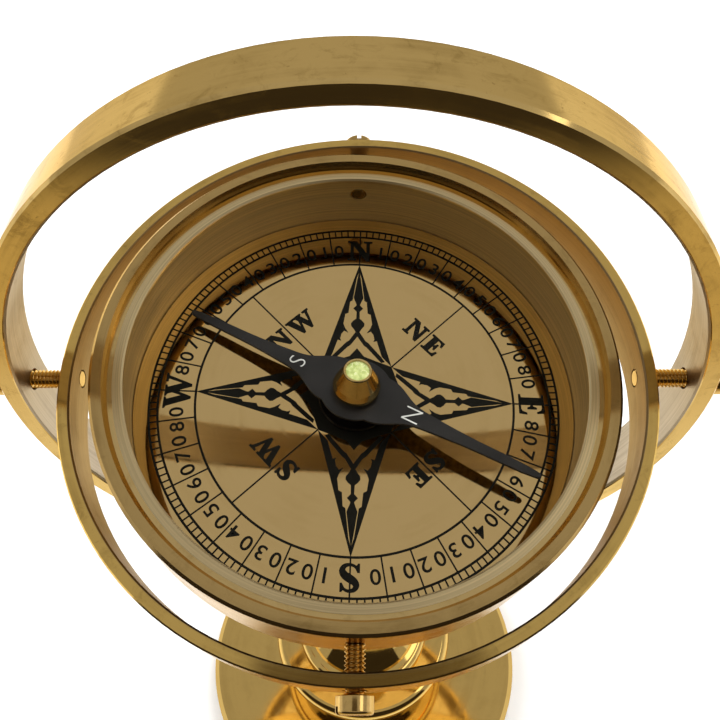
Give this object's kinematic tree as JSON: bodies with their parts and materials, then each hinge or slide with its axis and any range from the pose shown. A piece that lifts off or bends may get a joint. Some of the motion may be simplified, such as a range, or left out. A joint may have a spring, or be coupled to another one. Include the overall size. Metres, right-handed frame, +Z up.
{
  "type": "gimballed compass on stand",
  "caption": "Brass compass bowl hung in a pivoting gimbal ring inside an upright fixed ring on a turned pedestal with a round foot.",
  "frame": {"origin": "on the surface the base stands on, on the axis of the stand", "axes": "+Z up the stand; +X along the gimbal ring's pivot screws, to the dial's east; +Y to the rear pivot screw, the dial's north"},
  "size_m": [0.127, 0.1048, 0.2038],
  "materials": {
    "ring_brass": "satin, lightly worn, brushed inside",
    "gimbal_brass": "satin turned",
    "bowl_brass": "turned and lacquered",
    "stand_brass": "polished",
    "screw_brass": "turned",
    "cap_brass": "polished",
    "steel": "plain",
    "dial_brass": "polished like a mirror, printed in black",
    "black_lacquer": "semi gloss black",
    "cover_glass": "clear flat",
    "jewel": "polished yellow green",
    "felt": "green baize"
  },
  "bodies": {
    "stand": {"base_pad": "felt", "base_plate": "stand_brass", "base_washer": "steel", "base_nut": "steel", "tie_rod": "steel", "turned_foot": "stand_brass", "turned_stem": "stand_brass", "ring_saddle": "stand_brass", "outer_ring": "ring_brass", "ring_screw": "screw_brass"},
    "gimbal": {"gimbal_ring": "gimbal_brass", "left_pivot_screw": "screw_brass", "right_pivot_screw": "screw_brass"},
    "bowl": {"bowl_shell": "bowl_brass", "glass": "cover_glass", "bezel_ring": "bowl_brass", "dial_plate": "dial_brass", "hub_disc": "black_lacquer", "pivot_post": "cap_brass", "pivot_pin": "steel", "front_pivot_screw": "screw_brass", "rear_pivot_screw": "screw_brass"},
    "needle": {"needle_blade": "black_lacquer", "needle_cap": "cap_brass", "cap_jewel": "jewel"}
  },
  "joints": [
    {"name": "gimbal_swing", "type": "hinge", "parent": "stand", "child": "gimbal", "pos_m": [0, 0, 0.144], "axis": [1, 0, 0], "continuous": true},
    {"name": "bowl_swing", "type": "hinge", "parent": "gimbal", "child": "bowl", "pos_m": [0, 0, 0.144], "axis": [0, 0.9763, 0.2164], "continuous": true},
    {"name": "needle_turn", "type": "hinge", "parent": "bowl", "child": "needle", "pos_m": [0, 0, 0.144], "axis": [0.0523, -0.2161, 0.975], "continuous": true}
  ]
}
